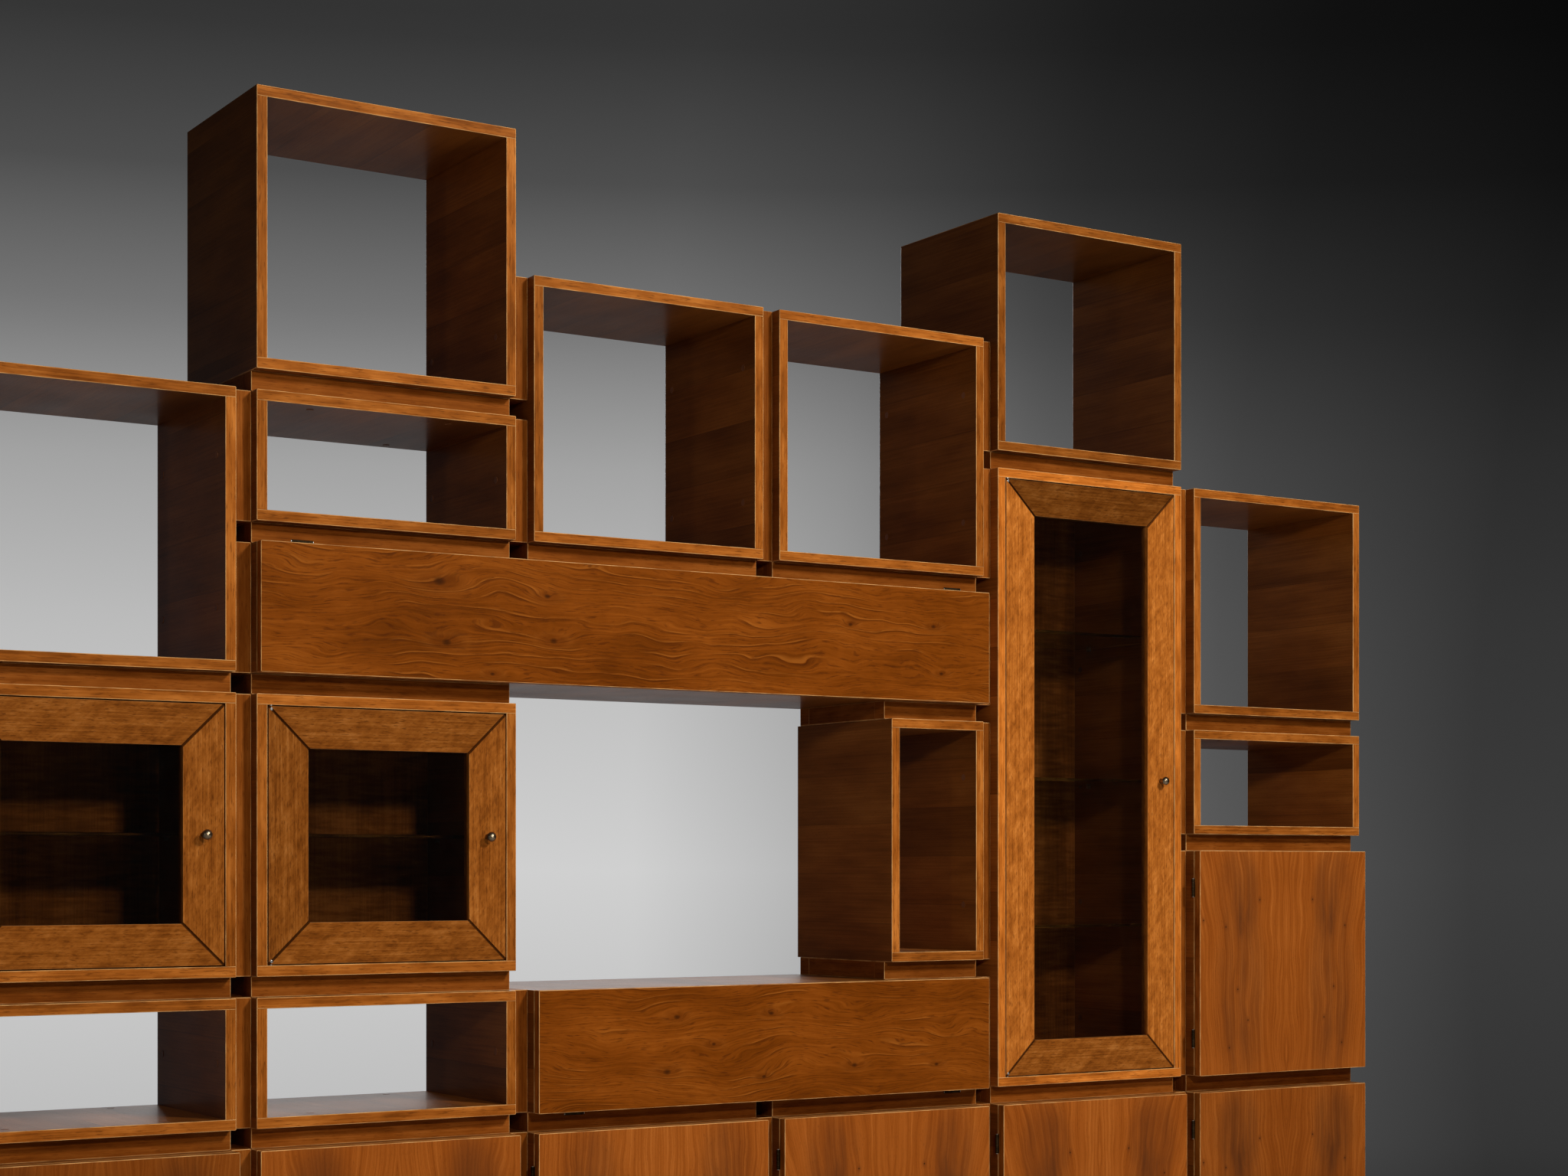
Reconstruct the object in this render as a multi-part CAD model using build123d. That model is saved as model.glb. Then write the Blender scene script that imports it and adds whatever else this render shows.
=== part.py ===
from build123d import *

import os
from collections import namedtuple

# A free-standing wall unit of wooden boxes. Every box fills whole cells of one grid of half
# cubes, and spacer frames keep neighbouring boxes one gap apart. Millimetres, +Z up,
# fronts facing -Y. The origin is at the middle of the footprint, on the floor.

# ---- grid and boxes ----
half_cube = 213.0  # outer size of half a cube; a cube is two halves and one gap
gap = 34.0  # distance between neighbouring boxes
box_depth = 340.0
board = 18.0  # thickness of every box board
back_thickness = 8.0
plinth_height = 70.0

# ---- spacer frames and plinth rails ----
front_recess = 26.0  # spacers and plinth stand back from the box fronts
rear_recess = 10.0
rail_width = 34.0  # width of a spacer rail, seen square to the gap
plinth_rail = 18.0

# ---- bolts that tie two boxes through a spacer, one pair for each half cube ----
bolt_radius = 3.0
bolt_cap_radius = 6.0
bolt_cap_height = 2.0
bolt_cap_proud = 0.5  # the rest of the cap is let into the board

# ---- doors and flaps that lie over the box fronts ----
slab_thickness = 17.5
slab_gap = 1.5  # between the back of the slab and the box front

# ---- butt hinges of the slabs ----
knuckle_radius = 3.0
knuckle_clearance = 0.4  # from the knuckles to the edge of the box and slab
hinge_length = 36.0
hinge_inset = 76.0  # from the end of the slab to the middle of its hinge
leaf_thickness = 1.0
leaf_proud = 0.45  # how far a leaf stands out of the wood it is let into
leaf_width = 14.0
knuckle_count = 5
knuckle_gap = 0.3
pin_radius = 1.25
pin_head_radius = 2.2
pin_head_height = 1.2
running_clearance = 0.05

# ---- glazed doors, set flush inside their boxes ----
door_margin = 2.0  # even gap round a glazed door
door_thickness = 20.0
member_width = 67.5  # face width of the mitred members
glass_thickness = 4.0
glass_lap = 8.0  # how far the pane runs into the members
pivot_from_side = 5.0  # pivot axis, from the door's left edge
pivot_from_front = 3.5  # and from its front face; the corner must swing clear of the box
pivot_radius = 1.5
pivot_depth = 10.0  # length of the pin inside the door, and inside the box board
bush_radius = 2.5
collar_radius = 3.0
collar_height = 1.0
knob_radius = 8.5
knob_foot_radius = 5.5
knob_neck_radius = 4.0
knob_neck_length = 10.0
knob_rim_height = 15.0
knob_reach = 21.0
knob_shift = 1.0  # from the middle of the stile towards its outer edge

# ---- magnetic catches ----
catch_length = 40.0
catch_width = 12.0
catch_height = 10.0
catch_gap = 1.0
catch_inset = 60.0  # from the corner of the box inside to the middle of the catch
strike_thickness = 1.0
strike_proud = 0.5

# ---- glass shelves ----
shelf_thickness = 6.0
shelf_side_clearance = 1.0
shelf_front_clearance = 10.0  # behind the glazed door
shelf_back_clearance = 3.0
shelf_pin_radius = 2.5
shelf_pin_length = 16.0  # half of it is in the board
shelf_pin_inset = 50.0  # from the front and rear edges of the shelf

# ---- layout: column and row are counted in half cubes from the bottom left ----
Cabinet = namedtuple("Cabinet", "name column row wide high front shelves")
cabinets = [
    Cabinet("base_box_1", 0, 0, 2, 2, "door", 0),
    Cabinet("base_box_2", 2, 0, 2, 2, "door", 0),
    Cabinet("base_box_3", 4, 0, 2, 2, "door", 0),
    Cabinet("base_box_4", 6, 0, 2, 2, "door", 0),
    Cabinet("base_box_5", 8, 0, 2, 2, "door", 0),
    Cabinet("base_box_6", 10, 0, 2, 2, "door", 0),
    Cabinet("low_half_box_1", 0, 2, 2, 1, "open", 0),
    Cabinet("low_half_box_2", 2, 2, 2, 1, "open", 0),
    Cabinet("drop_flap_box", 4, 2, 4, 1, "drop_flap", 0),
    Cabinet("glazed_box_1", 0, 3, 2, 2, "glazed", 1),
    Cabinet("glazed_box_2", 2, 3, 2, 2, "glazed", 1),
    Cabinet("narrow_box", 7, 3, 1, 2, "open", 0),
    Cabinet("lift_flap_box", 2, 5, 6, 1, "lift_flap", 0),
    Cabinet("open_cube_1", 0, 5, 2, 2, "open", 0),
    Cabinet("high_half_box", 2, 6, 2, 1, "open", 0),
    Cabinet("open_cube_2", 4, 6, 2, 2, "open", 0),
    Cabinet("open_cube_3", 6, 6, 2, 2, "open", 0),
    Cabinet("top_cube_1", 2, 7, 2, 2, "open", 0),
    Cabinet("vitrine_box", 8, 2, 2, 5, "glazed", 3),
    Cabinet("top_cube_2", 8, 7, 2, 2, "open", 0),
    Cabinet("cupboard_box", 10, 2, 2, 2, "door", 0),
    Cabinet("right_half_box", 10, 4, 2, 1, "open", 0),
    Cabinet("open_cube_4", 10, 5, 2, 2, "open", 0),
]

# ---- values worked out from the sizes above ----
cell = half_cube + gap
columns = max(cab.column + cab.wide for cab in cabinets)
boxes_width = columns * cell - gap
hinge_outset = knuckle_radius + knuckle_clearance  # from the box side to the hinge axis
left_edge = (hinge_outset + knuckle_radius - boxes_width) / 2
slab_reach = slab_gap + slab_thickness
front_reach = max(slab_reach, knob_reach)
front_y = (front_reach - box_depth) / 2  # plane of the box fronts
rear_y = front_y + box_depth
hinge_axis_y = front_y - slab_gap / 2
spacer_y = (front_y + front_recess, rear_y - rear_recess)

Span = namedtuple("Span", "x y z")
nodes = {}


def add(node, *solids):
    """Put solids into the node of that name."""
    nodes.setdefault(node, []).extend(solids)


def block(x, y, z):
    """A plain board between three (low, high) spans."""
    size = [high - low for low, high in (x, y, z)]
    middle = [(high + low) / 2 for low, high in (x, y, z)]
    return Pos(*middle) * Box(*size)


def bar(plane, radius, length):
    """A round bar along the plane's normal, starting at the plane."""
    return plane * Cylinder(radius, length, align=(Align.CENTER, Align.CENTER, Align.MIN))


def grid_span(first, count):
    """Edges of a row of half cubes that starts at half cube number first."""
    low = first * cell
    return (low, low + count * cell - gap)


def outline(cab):
    """Outer spans of a box."""
    x = tuple(left_edge + edge for edge in grid_span(cab.column, cab.wide))
    z = tuple(edge + plinth_height for edge in grid_span(cab.row, cab.high))
    return Span(x, (front_y, rear_y), z)


def inside(cab):
    """Spans between the inner faces of a box's boards."""
    x, y, z = outline(cab)
    return Span((x[0] + board, x[1] - board), y, (z[0] + board, z[1] - board))


# ---- boxes ----
def box_boards(cab):
    """Top and bottom over the full width, and two sides between them."""
    x, y, z = outline(cab)
    inner = inside(cab)
    return [
        block(x, y, (z[0], inner.z[0])),
        block(x, y, (inner.z[1], z[1])),
        block((x[0], inner.x[0]), y, inner.z),
        block((inner.x[1], x[1]), y, inner.z),
    ]


def back_panel(cab):
    inner = inside(cab)
    return block(inner.x, (rear_y - back_thickness, rear_y), inner.z)


# ---- spacers, bolts and plinth ----
def rail_frame(length, depth, thickness):
    """A flat frame of separate rails, centred, with a middle rail if it is a cube long."""
    end = (length - rail_width) / 2
    side = (depth - rail_width) / 2
    rails = [Pos(0, way * side, 0) * Box(length, rail_width, thickness) for way in (-1, 1)]
    places = [-end, end]
    if length > cell:
        places.append(0)
    for place in places:
        rails.append(Pos(place, 0, 0) * Box(rail_width, depth - 2 * rail_width, thickness))
    return rails


def shared(first, second):
    """Overlap of two spans, or None."""
    low = max(first[0], second[0])
    high = min(first[1], second[1])
    return (low, high) if high > low else None


def bolt(x, y, z, way):
    """A bolt through two boards and the gap between them, capped at both ends."""
    length = gap + 2 * (board + bolt_cap_proud)
    low = Plane((x, y, z), z_dir=way).offset(-length / 2)
    low_cap = bar(low, bolt_cap_radius, bolt_cap_height)
    shank = bar(low, bolt_radius, length)
    high_cap = bar(low.offset(length - bolt_cap_height), bolt_cap_radius, bolt_cap_height)
    return (low_cap + shank + high_cap).solid()


def bolt_rows():
    """Places of the bolts from front to back: the middle of each long rail."""
    return [spacer_y[0] + rail_width / 2, spacer_y[1] - rail_width / 2]


def half_cube_middles(span):
    """Middle of every half cube along a span."""
    count = round((span[1] - span[0] + gap) / cell)
    return [span[0] + half_cube / 2 + number * cell for number in range(count)]


def join_stacked(lower, upper):
    """Spacer frame and bolts between a box and the one standing on it."""
    x = shared(outline(lower).x, outline(upper).x)
    if lower.row + lower.high != upper.row or x is None:
        return
    z = (outline(lower).z[1], outline(upper).z[0])
    place = Pos(sum(x) / 2, sum(spacer_y) / 2, sum(z) / 2)
    for rail in rail_frame(x[1] - x[0], spacer_y[1] - spacer_y[0], gap):
        add("stacking_spacers", place * rail)
    for y in bolt_rows():
        for middle in half_cube_middles(x):
            add("connector_bolts", bolt(middle, y, sum(z) / 2, (0, 0, 1)))


def join_side_by_side(left, right):
    """Spacer frame and bolts between two neighbouring boxes."""
    z = shared(outline(left).z, outline(right).z)
    if left.column + left.wide != right.column or z is None:
        return
    x = (outline(left).x[1], outline(right).x[0])
    place = Pos(sum(x) / 2, sum(spacer_y) / 2, sum(z) / 2) * Rot(Y=90)
    for rail in rail_frame(z[1] - z[0], spacer_y[1] - spacer_y[0], gap):
        add("side_spacers", place * rail)
    for y in bolt_rows():
        for middle in half_cube_middles(z):
            add("connector_bolts", bolt(sum(x) / 2, y, middle, (1, 0, 0)))


def plinth():
    """Two long rails and a cross rail under every box side and box middle."""
    z = (0, plinth_height)
    ends = (left_edge, left_edge + boxes_width)
    front_rail = (spacer_y[0], spacer_y[0] + plinth_rail)
    rear_rail = (spacer_y[1] - plinth_rail, spacer_y[1])
    rails = [block(ends, front_rail, z), block(ends, rear_rail, z)]
    first = ends[0] + plinth_rail / 2
    pitch = (boxes_width - plinth_rail) / columns
    for number in range(columns + 1):
        middle = first + number * pitch
        x = (middle - plinth_rail / 2, middle + plinth_rail / 2)
        rails.append(block(x, (front_rail[1], rear_rail[0]), z))
    return rails


# ---- butt hinges, drawn with the pin along local Z and the leaves towards local +X ----
def hinge_leaf(numbers, side, bore):
    """One leaf with its knuckles; side is +1 for the box and -1 for the slab."""
    pitch = (hinge_length + knuckle_gap) / knuckle_count
    near = slab_gap / 2 - leaf_proud
    y = sorted((side * near, side * (near + leaf_thickness)))
    plate_x = (hinge_outset, hinge_outset + leaf_width)
    leaf = block(plate_x, y, (-hinge_length / 2, hinge_length / 2))
    for number in numbers:
        low = number * pitch - hinge_length / 2
        base = Plane((0, 0, low))
        height = pitch - knuckle_gap
        leaf += block((0, hinge_outset), y, (low, low + height))
        leaf += bar(base, knuckle_radius, height)
        leaf -= bar(base, bore, height)
    return leaf.solid()


def hinge_pin():
    half = hinge_length / 2
    pin = bar(Plane((0, 0, -half)), pin_radius, hinge_length)
    for base in (-half - pin_head_height, half):
        pin += bar(Plane((0, 0, base)), pin_head_radius, pin_head_height)
    return pin.solid()


def add_butt_hinge(place, moving_node):
    """Fixed leaf and pin on the box, and the other leaf on the slab."""
    fixed = range(0, knuckle_count, 2)
    moving = range(1, knuckle_count, 2)
    add("hinge_leaves", place * hinge_leaf(fixed, 1, pin_radius))
    add("hinge_pins", place * hinge_pin())
    add(moving_node, place * hinge_leaf(moving, -1, pin_radius + running_clearance))


# ---- magnetic catches, drawn at the box front with the strike towards local -Y ----
def add_catch(place, moving_node, leaf_y):
    """A magnet housing behind the closed leaf, whose back is at leaf_y, and its strike."""
    strike_back = leaf_y + strike_proud
    housing_front = strike_back + catch_gap
    x = (-catch_length / 2, catch_length / 2)
    z = (-catch_height, 0)
    strike_y = (strike_back - strike_thickness, strike_back)
    housing = block(x, (housing_front, housing_front + catch_width), z)
    add("magnet_catches", place * housing)
    add(moving_node, place * block(x, strike_y, z))


def upper_corner(cab):
    """Place of a catch on the right side of a box, near its upper corner."""
    inner = inside(cab)
    corner = (inner.x[1], front_y, inner.z[1] - catch_inset)
    return Plane(corner, x_dir=(0, 0, -1), z_dir=(1, 0, 0)).location


# ---- slab doors and flaps ----
def slab(cab):
    x, y, z = outline(cab)
    return block(x, (front_y - slab_reach, front_y - slab_gap), z)


def add_slab_leaf(cab, leaf, edge, along, across):
    """A slab hinged at edge: hinges along that edge, leaves pointing across the slab."""
    fittings = leaf + "_fittings"
    add(leaf, slab(cab))
    x, y, z = outline(cab)
    length = x[1] - x[0] if along.X else z[1] - z[0]
    for way in (-1, 1):
        middle = edge + along * (way * (length / 2 - hinge_inset))
        plane = Plane(middle, x_dir=across, z_dir=across.cross(Vector(0, 1, 0)))
        add_butt_hinge(plane.location, fittings)


def add_side_hung_door(cab):
    leaf = cab.name.replace("_box", "_door")
    x, y, z = outline(cab)
    edge = Vector(x[0] - hinge_outset, hinge_axis_y, sum(z) / 2)
    add_slab_leaf(cab, leaf, edge, Vector(0, 0, 1), Vector(1, 0, 0))
    add_catch(upper_corner(cab), leaf + "_fittings", -slab_gap)


def add_flap(cab):
    """A long flap: the lift flap hangs from its top edge, the drop flap from its bottom."""
    x, y, z = outline(cab)
    inner = inside(cab)
    if cab.front == "lift_flap":
        edge = Vector(sum(x) / 2, hinge_axis_y, z[1] + hinge_outset)
        across = Vector(0, 0, -1)
        catch_z, catch_up = inner.z[0], Vector(0, 0, -1)
    else:
        edge = Vector(sum(x) / 2, hinge_axis_y, z[0] - hinge_outset)
        across = Vector(0, 0, 1)
        catch_z, catch_up = inner.z[1], Vector(0, 0, 1)
    add_slab_leaf(cab, cab.front, edge, Vector(1, 0, 0), across)
    for catch_x in (inner.x[0] + catch_inset, inner.x[1] - catch_inset):
        side = Vector(0, 1, 0).cross(catch_up)
        corner = Plane((catch_x, front_y, catch_z), x_dir=side, z_dir=catch_up)
        add_catch(corner.location, cab.front + "_fittings", -slab_gap)


# ---- glazed doors ----
def mitred_frame(x, y, z):
    """Four members with mitred corners: left, right, bottom, top."""
    near = [(x[0], z[0]), (x[0], z[1]), (x[1], z[1]), (x[1], z[0])]
    inner_x = (x[0] + member_width, x[1] - member_width)
    inner_z = (z[0] + member_width, z[1] - member_width)
    far = [(inner_x[0], inner_z[0]), (inner_x[0], inner_z[1])]
    far += [(inner_x[1], inner_z[1]), (inner_x[1], inner_z[0])]
    members = []
    for corner in range(4):
        after = (corner + 1) % 4
        flat = [near[corner], near[after], far[after], far[corner]]
        points = [Vector(px, y[0], pz) for px, pz in flat]
        face = Face(Wire.make_polygon(points, close=True))
        members.append(Solid.extrude(face, Vector(0, y[1] - y[0], 0)))
    return members


def knob(place):
    """A turned knob: a tapered neck and a wide head with a domed front."""
    up = (Align.CENTER, Align.CENTER, Align.MIN)
    head_height = knob_rim_height - knob_neck_length
    dome_height = knob_reach - knob_rim_height
    dome_radius = (knob_radius**2 + dome_height**2) / (2 * dome_height)
    neck = Cone(knob_foot_radius, knob_neck_radius, knob_neck_length, align=up)
    head = Cone(knob_neck_radius, knob_radius, head_height, align=up)
    ball = Pos(0, 0, knob_reach - dome_radius) * Sphere(dome_radius)
    front = Pos(0, 0, knob_rim_height) * Cylinder(2 * knob_radius, dome_height, align=up)
    return place * (neck + Pos(0, 0, knob_neck_length) * head + (ball & front)).solid()


def add_glazed_door(cab):
    leaf = cab.name.replace("_box", "_door")
    fittings = leaf + "_fittings"
    inner = inside(cab)
    x = (inner.x[0] + door_margin, inner.x[1] - door_margin)
    z = (inner.z[0] + door_margin, inner.z[1] - door_margin)
    y = (front_y, front_y + door_thickness)
    axis = (x[0] + pivot_from_side, front_y + pivot_from_front)

    left, top, right, bottom = mitred_frame(x, y, z)
    for way, end, board_face in ((1, z[0], inner.z[0]), (-1, z[1], inner.z[1])):
        into_door = Plane((axis[0], axis[1], end), z_dir=(0, 0, way))
        hole = bar(into_door, bush_radius, pivot_depth + running_clearance)
        left = left - hole
        bottom = bottom - hole
        top = top - hole
        bush = bar(into_door, bush_radius, pivot_depth)
        bush -= bar(into_door, pivot_radius + running_clearance, pivot_depth)
        add(fittings, bush.solid())
        into_room = Plane((axis[0], axis[1], board_face), z_dir=(0, 0, way))
        pin = bar(into_room.offset(-pivot_depth), pivot_radius, 2 * pivot_depth)
        collar = bar(into_room, collar_radius, collar_height)
        add("hinge_pins", (pin + collar).solid())
    add(leaf + "_frame", left.solid(), top.solid(), right, bottom.solid())

    lap = member_width - glass_lap
    middle_y = (y[0] + y[1]) / 2
    pane_y = (middle_y - glass_thickness / 2, middle_y + glass_thickness / 2)
    pane = block((x[0] + lap, x[1] - lap), pane_y, (z[0] + lap, z[1] - lap))
    add(leaf + "_glass", pane)

    knob_x = x[1] - member_width / 2 + knob_shift
    add(fittings, knob(Plane((knob_x, front_y, sum(z) / 2), z_dir=(0, -1, 0)).location))
    add_catch(upper_corner(cab), fittings, door_thickness)


# ---- glass shelves ----
def add_shelves(cab):
    """Evenly spaced glass shelves, each on four pins."""
    inner = inside(cab)
    back_face = rear_y - back_thickness
    x = (inner.x[0] + shelf_side_clearance, inner.x[1] - shelf_side_clearance)
    y = (front_y + door_thickness + shelf_front_clearance, back_face - shelf_back_clearance)
    pitch = (inner.z[1] - inner.z[0]) / (cab.shelves + 1)
    for number in range(cab.shelves):
        middle = inner.z[0] + (number + 1) * pitch
        z = (middle - shelf_thickness / 2, middle + shelf_thickness / 2)
        add("glass_shelves", block(x, y, z))
        for pin_y in (y[0] + shelf_pin_inset, y[1] - shelf_pin_inset):
            for wall, way in ((inner.x[0], 1), (inner.x[1], -1)):
                start = (wall - way * shelf_pin_length / 2, pin_y, z[0] - shelf_pin_radius)
                plane = Plane(start, z_dir=(way, 0, 0))
                add("shelf_pins", bar(plane, shelf_pin_radius, shelf_pin_length))


# ---- assembly ----
add("plinth", *plinth())
for cab in cabinets:
    add(cab.name, *box_boards(cab))
    if cab.front != "open":
        add("back_panels", back_panel(cab))
    if cab.front == "door":
        add_side_hung_door(cab)
    elif cab.front == "glazed":
        add_glazed_door(cab)
    elif cab.front != "open":
        add_flap(cab)
    add_shelves(cab)
for one in cabinets:
    for other in cabinets:
        join_stacked(one, other)
        join_side_by_side(one, other)

os.makedirs("parts", exist_ok=True)
for node, solids in nodes.items():
    export_step(Compound(children=list(solids)), f"parts/{node}.step")
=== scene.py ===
import math

import bmesh
import bpy
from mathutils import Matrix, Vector


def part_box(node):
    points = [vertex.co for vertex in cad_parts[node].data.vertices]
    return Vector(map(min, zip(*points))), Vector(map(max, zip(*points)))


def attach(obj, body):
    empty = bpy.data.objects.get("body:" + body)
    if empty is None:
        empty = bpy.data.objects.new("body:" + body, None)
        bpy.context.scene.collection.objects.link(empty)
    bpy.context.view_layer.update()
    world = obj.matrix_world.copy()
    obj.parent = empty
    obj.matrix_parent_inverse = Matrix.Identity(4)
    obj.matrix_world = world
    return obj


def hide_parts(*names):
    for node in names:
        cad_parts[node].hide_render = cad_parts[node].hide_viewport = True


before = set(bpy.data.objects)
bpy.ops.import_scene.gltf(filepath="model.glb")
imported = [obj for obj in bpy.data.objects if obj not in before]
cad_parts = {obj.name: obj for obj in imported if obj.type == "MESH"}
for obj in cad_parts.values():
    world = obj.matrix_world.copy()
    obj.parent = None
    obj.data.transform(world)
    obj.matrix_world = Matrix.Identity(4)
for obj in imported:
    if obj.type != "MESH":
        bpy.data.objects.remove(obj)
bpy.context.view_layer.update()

# ---- sizes the CAD model is built with, in metres ----
MM = 0.001
BOARD = 18 * MM
GAP = 34 * MM
CELL = 247 * MM
RAIL = 34 * MM
RECESS = 26 * MM
REAR_RECESS = 10 * MM
PLINTH_RAIL = 18 * MM
MEMBER = 67.5 * MM

# ---- details the CAD model does not have ----
ARRIS = 1.1 * MM
SOFT_ARRIS = 0.5 * MM
GLASS_ARRIS = 0.4 * MM
MITRE_GROOVE = 2.2 * MM
PIVOT_SCREW_INSET = 4.5 * MM
# Half section of a pivot screw's head in mm: radius, and how far it stands proud.
PIVOT_SCREW_PROFILE = [(0.0, 0.9), (1.6, 0.9), (2.3, 0.6), (2.6, 0.0)]
PIVOT_SCREW_STEPS = 24

# ---- tolerances ----
SNUG = 0.2 * MM
MERGE = 1e-7
# A face is slanted when no part of its normal reaches the first value, and belongs to a
# mitre's groove when every part of its normal passes the second.
SQUARE_ENOUGH = 0.99
MITRE_SLANT = 0.1

# ---- seeds: one for each board, shifted for the three directions a face can have ----
FACE_SEED_STEP = 0.13

# ---- how light each piece is drawn, 1.0 for the common tone ----
# Boards without a tone of their own get a sine of their seed times this step.
TONE_SPREAD = 0.10
TONE_STEP = 12.9898
BOX_TONES = {"vitrine_box": 1.60, "top_cube_2": 0.72, "high_half_box": 0.92}
DOOR_TONES = {"base_door_1": 0.72, "base_door_6": 0.85, "cupboard_door": 0.97}
# Left, right, bottom and top member: the top member is the darkest on every door, and the
# tall door's stiles are the lightest.
MEMBER_TONES = {
    "glazed_door_1": (0.90, 1.05, 0.95, 0.88),
    "glazed_door_2": (0.86, 1.10, 0.92, 0.84),
    "vitrine_door": (1.62, 1.55, 0.98, 0.50),
}

# ---- knots of the two flaps: metres from the left end, from the bottom edge, and size ----
LIFT_KNOTS = [
    (0.310, 0.165, 20 * MM),
    (0.510, 0.151, 11 * MM),
    (0.323, 0.063, 15 * MM),
    (0.522, 0.075, 13 * MM),
    (0.407, 0.013, 8 * MM),
    (1.130, 0.135, 9 * MM),
    (1.335, 0.052, 9 * MM),
    (1.317, 0.141, 10 * MM),
]
DROP_KNOTS = [
    (0.270, 0.159, 12 * MM),
    (0.345, 0.108, 8 * MM),
    (0.250, 0.062, 14 * MM),
    (0.465, 0.160, 10 * MM),
    (0.450, 0.045, 9 * MM),
    (0.645, 0.058, 12 * MM),
    (0.830, 0.052, 9 * MM),
]

DOORS = [f"base_door_{number}" for number in range(1, 7)] + ["cupboard_door"]
FLAPS = ["lift_flap", "drop_flap"]
GLAZED = ["glazed_door_1", "glazed_door_2", "vitrine_door"]
BOXES = sorted(
    name
    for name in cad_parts
    if name.endswith("_box") or "_box_" in name or "_cube_" in name
)


# ======================================================================================
# Node helpers
# ======================================================================================
class Nodes:
    """Builds one material's node tree, with short calls for the nodes used most."""

    def __init__(self, name):
        self.material = bpy.data.materials.new(name)
        self.material.use_nodes = True
        self.tree = self.material.node_tree
        self.shader = self.tree.nodes["Principled BSDF"]

    def node(self, kind, **settings):
        made = self.tree.nodes.new(kind)
        for key, value in settings.items():
            setattr(made, key, value)
        return made

    def link(self, source, target):
        if isinstance(source, (int, float, tuple)):
            target.default_value = source
        else:
            self.tree.links.new(source, target)

    def math(self, operation, first, second=None):
        made = self.node("ShaderNodeMath", operation=operation)
        for number, value in enumerate((first, second)):
            if value is not None:
                self.link(value, made.inputs[number])
        return made.outputs[0]

    def vector(self, x=0.0, y=0.0, z=0.0):
        made = self.node("ShaderNodeCombineXYZ")
        for number, value in enumerate((x, y, z)):
            self.link(value, made.inputs[number])
        return made.outputs[0]

    def split(self, vector):
        made = self.node("ShaderNodeSeparateXYZ")
        self.link(vector, made.inputs[0])
        return made.outputs

    def attribute(self, name):
        return self.node("ShaderNodeAttribute", attribute_name=name)

    def noise(self, vector, scale=1.0, detail=2.0, roughness=0.5, distortion=0.0):
        made = self.node("ShaderNodeTexNoise")
        self.link(vector, made.inputs["Vector"])
        made.inputs["Scale"].default_value = scale
        made.inputs["Detail"].default_value = detail
        made.inputs["Roughness"].default_value = roughness
        made.inputs["Distortion"].default_value = distortion
        return made.outputs["Fac"]

    def total(self, *weighted):
        """Sum of values, each times its weight."""
        result = None
        for value, weight in weighted:
            part = value if weight == 1.0 else self.math("MULTIPLY", value, weight)
            result = part if result is None else self.math("ADD", result, part)
        return result

    def grain_noise(self, grain, along_scale, across_scale, shift=0.0, **settings):
        """Noise whose scales are repeats per metre along and across the grain."""
        along, across, seed = grain
        if shift:
            seed = self.math("ADD", seed, shift)
        along = self.math("MULTIPLY", along, along_scale)
        across = self.math("MULTIPLY", across, across_scale)
        return self.noise(self.vector(along, across, seed), **settings)

    def random(self, value):
        made = self.node("ShaderNodeTexWhiteNoise", noise_dimensions="1D")
        self.link(value, made.inputs["W"])
        return made.outputs["Value"]

    def remap(self, value, low, high, to_low=0.0, to_high=1.0, smooth=False):
        made = self.node("ShaderNodeMapRange", clamp=True)
        if smooth:
            made.interpolation_type = "SMOOTHSTEP"
        self.link(value, made.inputs["Value"])
        made.inputs["From Min"].default_value = low
        made.inputs["From Max"].default_value = high
        made.inputs["To Min"].default_value = to_low
        made.inputs["To Max"].default_value = to_high
        return made.outputs["Result"]

    def mix(self, factor, first, second, blend="MIX"):
        made = self.node("ShaderNodeMix", data_type="RGBA", blend_type=blend)
        made.clamp_factor = True
        self.link(factor, made.inputs[0])
        for value, socket in ((first, made.inputs[6]), (second, made.inputs[7])):
            if isinstance(value, tuple):
                socket.default_value = (*value, 1.0)
            else:
                self.link(value, socket)
        return made.outputs[2]

    def ramp(self, value, *stops):
        made = self.node("ShaderNodeValToRGB")
        self.link(value, made.inputs[0])
        elements = made.color_ramp.elements
        while len(elements) < len(stops):
            elements.new(0.5)
        for element, (place, colour) in zip(elements, stops):
            element.position = place
            element.color = (*colour, 1.0)
        return made.outputs[0]

    def bump(self, height, distance, strength=1.0):
        made = self.node("ShaderNodeBump")
        self.link(height, made.inputs["Height"])
        made.inputs["Distance"].default_value = distance
        made.inputs["Strength"].default_value = strength
        self.link(made.outputs[0], self.shader.inputs["Normal"])

    def set(self, **sockets):
        for key, value in sockets.items():
            self.link(value, self.shader.inputs[key.replace("_", " ")])


# ======================================================================================
# Wood
# ======================================================================================
# Every wooden piece carries "grain" on its face corners: metres along the grain, metres
# across it, and a number of its own for each board. "tone" makes a board lighter or darker,
# "arris" marks the narrow faces along its edges, which are lightened partly as wear and
# partly as a painted highlight, and "groove" those at a mitre.
# Colours are linear red, green and blue.
SEED_SPREAD = 17.3
LACQUER_TINT = (1.0, 0.62, 0.30, 1.0)
# Lighter colour of the arris faces: partly wear, partly a painted highlight along the edges.
WORN_AND_HIGHLIGHT_WOOD = (0.780, 0.430, 0.160)
DARK_DASH = (0.090, 0.0210, 0.0030)
KNOT_HEART = (0.022, 0.0060, 0.0020)
PORE_DEPTH = 0.12 * MM
LEAF_WIDTH = 95 * MM
DOOR_SIDE = 460 * MM
MIRROR_LINE = 0.51 * DOOR_SIDE
PIN_KNOT = 5 * MM

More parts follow.
